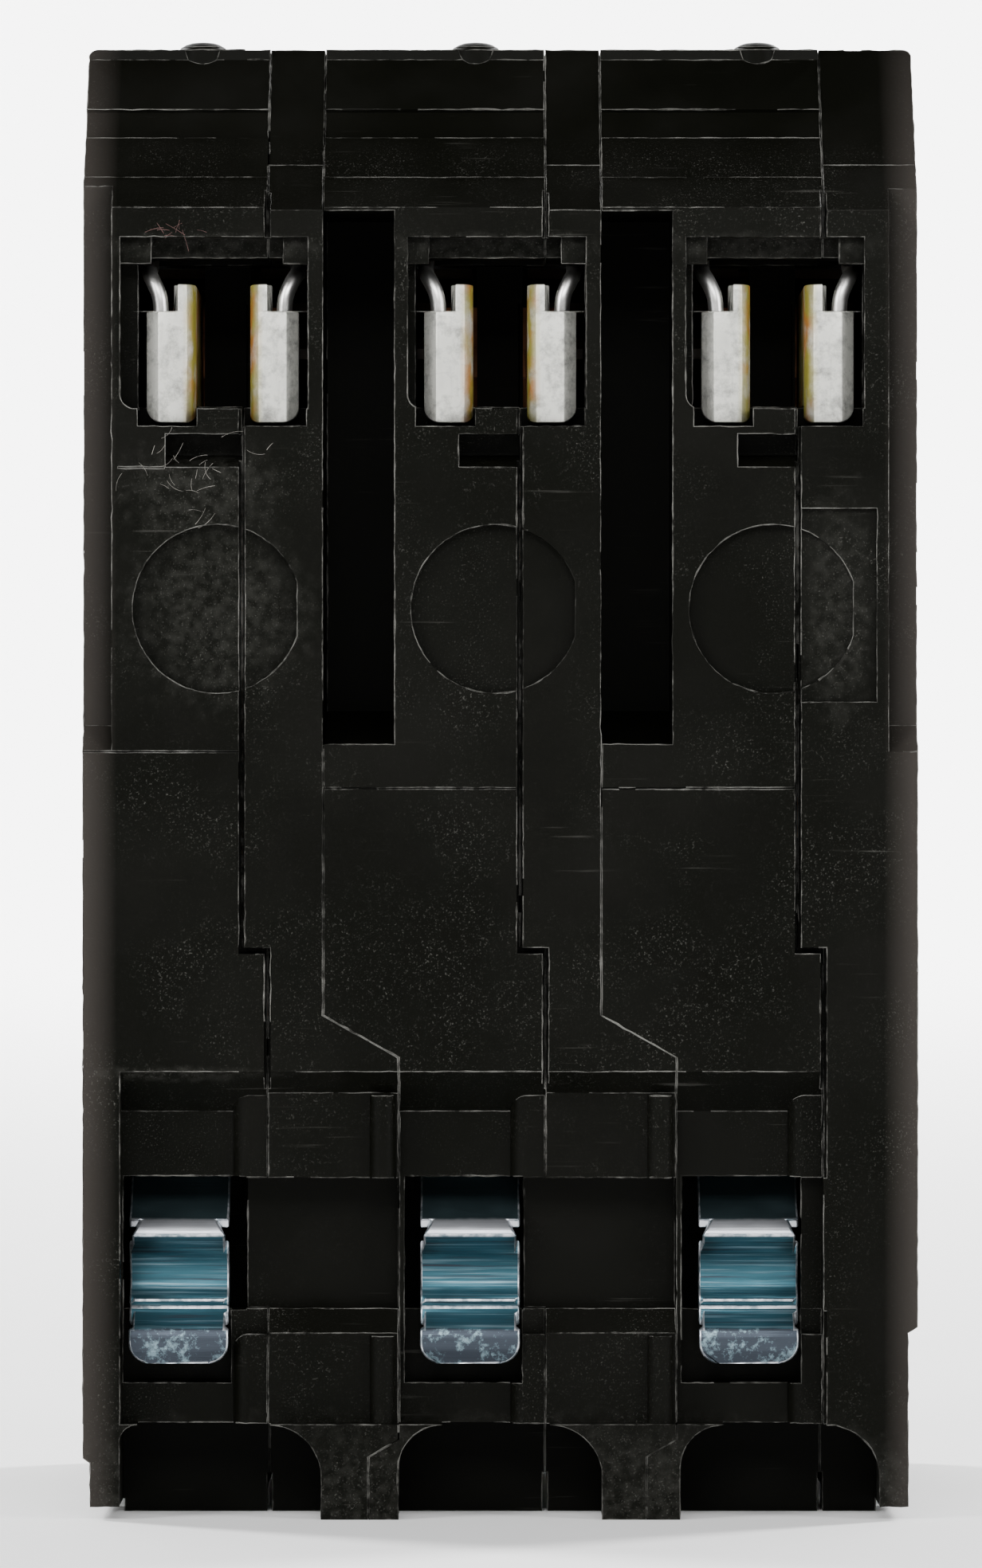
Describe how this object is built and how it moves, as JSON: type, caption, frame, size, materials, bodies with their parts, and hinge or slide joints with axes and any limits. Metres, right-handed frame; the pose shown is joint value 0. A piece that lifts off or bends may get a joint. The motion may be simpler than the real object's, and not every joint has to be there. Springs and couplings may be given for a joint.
{
  "type": "plug-on circuit breaker",
  "caption": "Molded case plug-on circuit breaker with tied toggle handles, spring bus jaws and rail clips on its back and a wire lug at the load end of each pole.",
  "frame": {"origin": "centre of the bounding box's bottom face, at the plane of the load-end legs", "axes": "+X across the poles, towards the right seen from the plug-on back; +Y from the back to the handles; +Z from the load end to the line end with the bus jaws"},
  "size_m": [0.0572, 0.0738, 0.1021],
  "materials": {
    "plastic": "fine molded texture, scuffed edges",
    "handle_plastic": "satin molded",
    "tin": "dull tin plate on copper",
    "spring_steel": "drawn wire",
    "plain_steel": "pressed steel",
    "zinc": "blue zinc plate, rolled",
    "copper": "copper strip",
    "fibre": "vulcanised fibre"
  },
  "bodies": {
    "case": {"pole_1_case_left": "plastic", "pole_1_case_right": "plastic", "pole_1_jaw_spring": "spring_steel", "pole_1_line_contact": "copper", "pole_1_operating_spring": "spring_steel", "pole_1_bimetal": "copper", "pole_1_magnet_yoke": "plain_steel", "pole_1_load_lug": "tin", "pole_1_arc_chute": "fibre", "pole_2_case_left": "plastic", "pole_2_case_right": "plastic", "pole_2_jaw_spring": "spring_steel", "pole_2_line_contact": "copper", "pole_2_operating_spring": "spring_steel", "pole_2_bimetal": "copper", "pole_2_magnet_yoke": "plain_steel", "pole_2_load_lug": "tin", "pole_2_arc_chute": "fibre", "pole_3_case_left": "plastic", "pole_3_case_right": "plastic", "pole_3_jaw_spring": "spring_steel", "pole_3_line_contact": "copper", "pole_3_operating_spring": "spring_steel", "pole_3_bimetal": "copper", "pole_3_magnet_yoke": "plain_steel", "pole_3_load_lug": "tin", "pole_3_arc_chute": "fibre", "case_rivets": "plain_steel"},
    "handles": {"pole_1_handle": "handle_plastic", "pole_2_handle": "handle_plastic", "pole_3_handle": "handle_plastic", "handle_tie": "plain_steel"},
    "trip_bar": {"trip_bar": "handle_plastic"},
    "arm_1": {"pole_1_contact_arm": "copper"},
    "cradle_1": {"pole_1_cradle": "plain_steel"},
    "armature_1": {"pole_1_armature": "plain_steel"},
    "screw_1": {"pole_1_terminal_screw": "plain_steel"},
    "clip_1": {"pole_1_rail_clip": "zinc"},
    "jaw_left_1": {"pole_1_jaw_left": "tin"},
    "jaw_right_1": {"pole_1_jaw_right": "tin"},
    "arm_2": {"pole_2_contact_arm": "copper"},
    "cradle_2": {"pole_2_cradle": "plain_steel"},
    "armature_2": {"pole_2_armature": "plain_steel"},
    "screw_2": {"pole_2_terminal_screw": "plain_steel"},
    "clip_2": {"pole_2_rail_clip": "zinc"},
    "jaw_left_2": {"pole_2_jaw_left": "tin"},
    "jaw_right_2": {"pole_2_jaw_right": "tin"},
    "arm_3": {"pole_3_contact_arm": "copper"},
    "cradle_3": {"pole_3_cradle": "plain_steel"},
    "armature_3": {"pole_3_armature": "plain_steel"},
    "screw_3": {"pole_3_terminal_screw": "plain_steel"},
    "clip_3": {"pole_3_rail_clip": "zinc"},
    "jaw_left_3": {"pole_3_jaw_left": "tin"},
    "jaw_right_3": {"pole_3_jaw_right": "tin"}
  },
  "joints": [
    {"name": "handle_turn", "type": "hinge", "parent": "case", "child": "handles", "pos_m": [0, 0.0131, 0.054], "axis": [1, 0, 0], "range_deg": [0, 36]},
    {"name": "trip_bar_turn", "type": "hinge", "parent": "case", "child": "trip_bar", "pos_m": [0, 0.0016, 0.03], "axis": [1, 0, 0], "range_deg": [0, 12], "stiffness_Nm_per_rad": 0.002, "springref_deg": -11.46},
    {"name": "arm_turn_1", "type": "hinge", "parent": "case", "child": "arm_1", "pos_m": [-0.01905, 0.0011, 0.048], "axis": [1, 0, 0], "range_deg": [0, 22]},
    {"name": "cradle_turn_1", "type": "hinge", "parent": "case", "child": "cradle_1", "pos_m": [-0.01905, 0.0091, 0.036], "axis": [1, 0, 0], "range_deg": [0, 18]},
    {"name": "armature_turn_1", "type": "hinge", "parent": "case", "child": "armature_1", "pos_m": [-0.01905, -0.004, 0.0385], "axis": [1, 0, 0], "range_deg": [-5, 0], "stiffness_Nm_per_rad": 0.004, "springref_deg": 11.46},
    {"name": "screw_drive_1", "type": "slide", "parent": "case", "child": "screw_1", "axis": [0, -1, 0], "range_m": [0, 0.0027]},
    {"name": "clip_flex_1", "type": "hinge", "parent": "case", "child": "clip_1", "pos_m": [-0.01905, -0.0267, 0.0266], "axis": [1, 0, 0], "range_deg": [0, 3], "stiffness_Nm_per_rad": 0.5, "springref_deg": -1.15},
    {"name": "jaw_left_flex_1", "type": "hinge", "parent": "case", "child": "jaw_left_1", "pos_m": [-0.02145, -0.0184, 0.08], "axis": [0, 0, -1], "range_deg": [0, 1.6], "stiffness_Nm_per_rad": 0.5, "springref_deg": -1.15},
    {"name": "jaw_right_flex_1", "type": "hinge", "parent": "case", "child": "jaw_right_1", "pos_m": [-0.01665, -0.0184, 0.08], "axis": [0, 0, 1], "range_deg": [0, 1.6], "stiffness_Nm_per_rad": 0.5, "springref_deg": -1.15},
    {"name": "arm_turn_2", "type": "hinge", "parent": "case", "child": "arm_2", "pos_m": [0, 0.0011, 0.048], "axis": [1, 0, 0], "range_deg": [0, 22]},
    {"name": "cradle_turn_2", "type": "hinge", "parent": "case", "child": "cradle_2", "pos_m": [0, 0.0091, 0.036], "axis": [1, 0, 0], "range_deg": [0, 18]},
    {"name": "armature_turn_2", "type": "hinge", "parent": "case", "child": "armature_2", "pos_m": [0, -0.004, 0.0385], "axis": [1, 0, 0], "range_deg": [-5, 0], "stiffness_Nm_per_rad": 0.004, "springref_deg": 11.46},
    {"name": "screw_drive_2", "type": "slide", "parent": "case", "child": "screw_2", "axis": [0, -1, 0], "range_m": [0, 0.0027]},
    {"name": "clip_flex_2", "type": "hinge", "parent": "case", "child": "clip_2", "pos_m": [0, -0.0267, 0.0266], "axis": [1, 0, 0], "range_deg": [0, 3], "stiffness_Nm_per_rad": 0.5, "springref_deg": -1.15},
    {"name": "jaw_left_flex_2", "type": "hinge", "parent": "case", "child": "jaw_left_2", "pos_m": [-0.0024, -0.0184, 0.08], "axis": [0, 0, -1], "range_deg": [0, 1.6], "stiffness_Nm_per_rad": 0.5, "springref_deg": -1.15},
    {"name": "jaw_right_flex_2", "type": "hinge", "parent": "case", "child": "jaw_right_2", "pos_m": [0.0024, -0.0184, 0.08], "axis": [0, 0, 1], "range_deg": [0, 1.6], "stiffness_Nm_per_rad": 0.5, "springref_deg": -1.15},
    {"name": "arm_turn_3", "type": "hinge", "parent": "case", "child": "arm_3", "pos_m": [0.01905, 0.0011, 0.048], "axis": [1, 0, 0], "range_deg": [0, 22]},
    {"name": "cradle_turn_3", "type": "hinge", "parent": "case", "child": "cradle_3", "pos_m": [0.01905, 0.0091, 0.036], "axis": [1, 0, 0], "range_deg": [0, 18]},
    {"name": "armature_turn_3", "type": "hinge", "parent": "case", "child": "armature_3", "pos_m": [0.01905, -0.004, 0.0385], "axis": [1, 0, 0], "range_deg": [-5, 0], "stiffness_Nm_per_rad": 0.004, "springref_deg": 11.46},
    {"name": "screw_drive_3", "type": "slide", "parent": "case", "child": "screw_3", "axis": [0, -1, 0], "range_m": [0, 0.0027]},
    {"name": "clip_flex_3", "type": "hinge", "parent": "case", "child": "clip_3", "pos_m": [0.01905, -0.0267, 0.0266], "axis": [1, 0, 0], "range_deg": [0, 3], "stiffness_Nm_per_rad": 0.5, "springref_deg": -1.15},
    {"name": "jaw_left_flex_3", "type": "hinge", "parent": "case", "child": "jaw_left_3", "pos_m": [0.01665, -0.0184, 0.08], "axis": [0, 0, -1], "range_deg": [0, 1.6], "stiffness_Nm_per_rad": 0.5, "springref_deg": -1.15},
    {"name": "jaw_right_flex_3", "type": "hinge", "parent": "case", "child": "jaw_right_3", "pos_m": [0.02145, -0.0184, 0.08], "axis": [0, 0, 1], "range_deg": [0, 1.6], "stiffness_Nm_per_rad": 0.5, "springref_deg": -1.15}
  ],
  "couplings": [
    {"joint": "arm_turn_1", "follows": "handle_turn", "ratio": 0.6111},
    {"joint": "cradle_turn_1", "follows": "trip_bar_turn", "ratio": 1.5},
    {"joint": "arm_turn_2", "follows": "handle_turn", "ratio": 0.6111},
    {"joint": "cradle_turn_2", "follows": "trip_bar_turn", "ratio": 1.5},
    {"joint": "arm_turn_3", "follows": "handle_turn", "ratio": 0.6111},
    {"joint": "cradle_turn_3", "follows": "trip_bar_turn", "ratio": 1.5}
  ]
}
